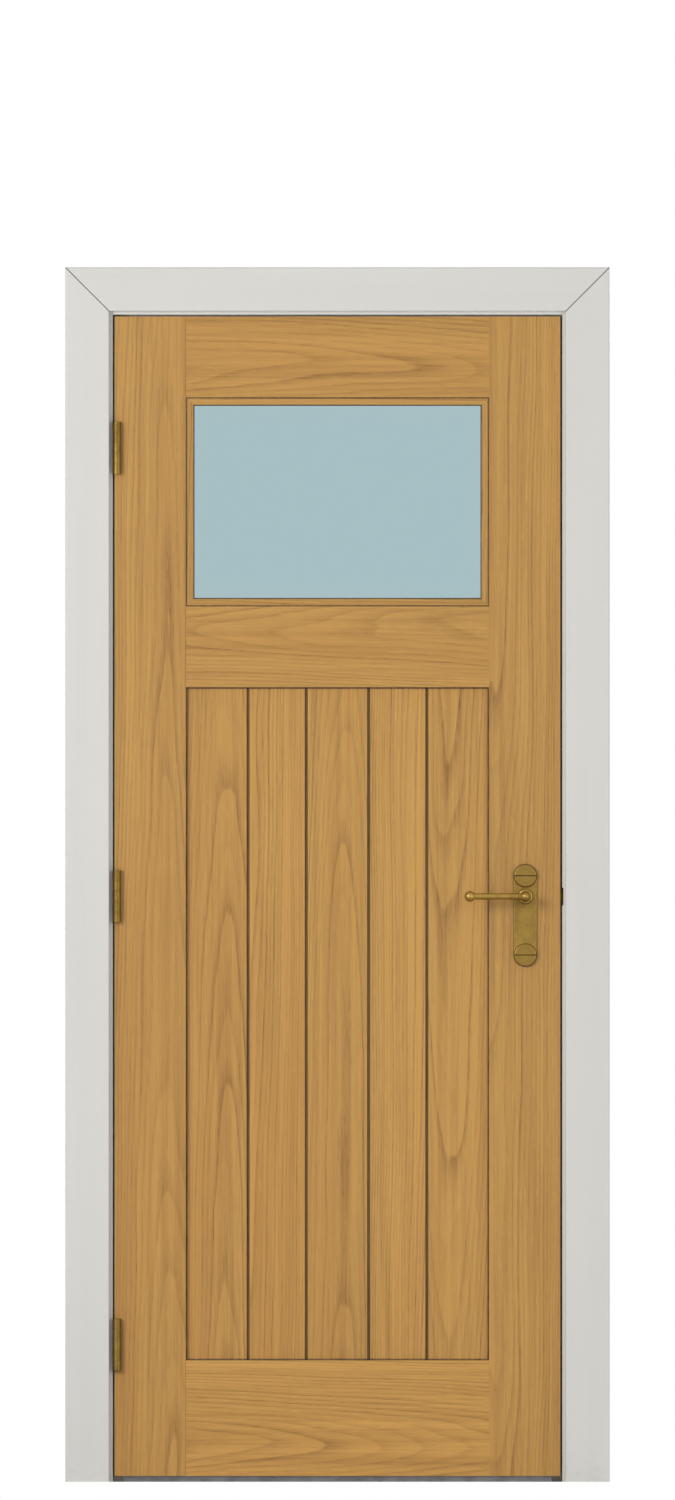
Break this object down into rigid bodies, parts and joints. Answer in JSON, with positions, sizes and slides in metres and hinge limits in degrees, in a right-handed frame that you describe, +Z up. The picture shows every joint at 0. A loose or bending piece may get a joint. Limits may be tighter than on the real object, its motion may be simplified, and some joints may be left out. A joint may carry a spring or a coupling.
{
  "type": "interior door",
  "caption": "Framed interior door with a glazed top light over a boarded panel, hung on butt hinges in a lining with architraves, with lever handles and a sprung latch.",
  "frame": {"origin": "on the floor, midway across the leaf and midway through the depth of the lining", "axes": "+Z up, +X along the wall from the hinges to the latch, +Y through the wall away from the face that shows the hinge knuckles"},
  "size_m": [0.93, 0.1875, 2.075],
  "materials": {
    "painted_timber": "satin",
    "oak": "satin",
    "brass": "satin",
    "steel": "satin",
    "aluminium": "satin",
    "glass": "gloss",
    "rubber": "matte"
  },
  "bodies": {
    "frame": {"lining_jamb_hinge_side": "painted_timber", "lining_jamb_latch_side": "painted_timber", "lining_head": "painted_timber", "stop_jamb_hinge_side": "painted_timber", "stop_jamb_latch_side": "painted_timber", "stop_head": "painted_timber", "architrave_front_left": "painted_timber", "architrave_front_right": "painted_timber", "architrave_front_head": "painted_timber", "architrave_back_left": "painted_timber", "architrave_back_right": "painted_timber", "architrave_back_head": "painted_timber", "threshold_bar": "aluminium", "hinge_frame_flap_top": "brass", "hinge_frame_flap_middle": "brass", "hinge_frame_flap_bottom": "brass", "hinge_pins": "brass", "strike_plate": "brass", "strike_keep": "steel", "frame_screws": "brass"},
    "leaf": {"stile_hinge_side": "oak", "stile_latch_side": "oak", "rail_top": "oak", "rail_lock": "oak", "rail_bottom": "oak", "panel_board_1": "oak", "panel_board_2": "oak", "panel_board_3": "oak", "panel_board_4": "oak", "panel_board_5": "oak", "bead_front_left": "oak", "bead_front_right": "oak", "bead_front_top": "oak", "bead_front_bottom": "oak", "bead_back_left": "oak", "bead_back_right": "oak", "bead_back_top": "oak", "bead_back_bottom": "oak", "glass_pane": "glass", "glazing_channel": "rubber", "hinge_leaf_flap_top": "brass", "hinge_leaf_flap_middle": "brass", "hinge_leaf_flap_bottom": "brass", "leaf_screws": "brass", "handle_plate_front": "brass", "handle_plate_back": "brass", "screw_covers_front": "brass", "screw_covers_back": "brass", "handle_bolts": "steel", "latch_case": "steel", "latch_spring": "steel", "latch_forend": "brass"},
    "levers": {"lever_front": "brass", "lever_back": "brass", "spindle": "steel", "grub_screws": "steel", "circlips": "steel", "latch_follower": "steel"},
    "bolt": {"latch_bolt": "brass"}
  },
  "joints": [
    {"name": "door_swing", "type": "hinge", "parent": "frame", "child": "leaf", "pos_m": [-0.37685, -0.06515, 1.0005], "axis": [0, 0, -1], "range_deg": [0, 170]},
    {"name": "lever_turn", "type": "hinge", "parent": "leaf", "child": "levers", "pos_m": [0.321, -0.04, 1], "axis": [0, -1, 0], "range_deg": [0, 45], "stiffness_Nm_per_rad": 1.2, "springref_deg": -34.38},
    {"name": "latch_slide", "type": "slide", "parent": "leaf", "child": "bolt", "axis": [-1, 0, 0], "range_m": [0, 0.011], "deforming": ["latch_spring"]}
  ],
  "couplings": [
    {"joint": "latch_slide", "follows": "lever_turn", "m_per_rad": 0.014}
  ]
}
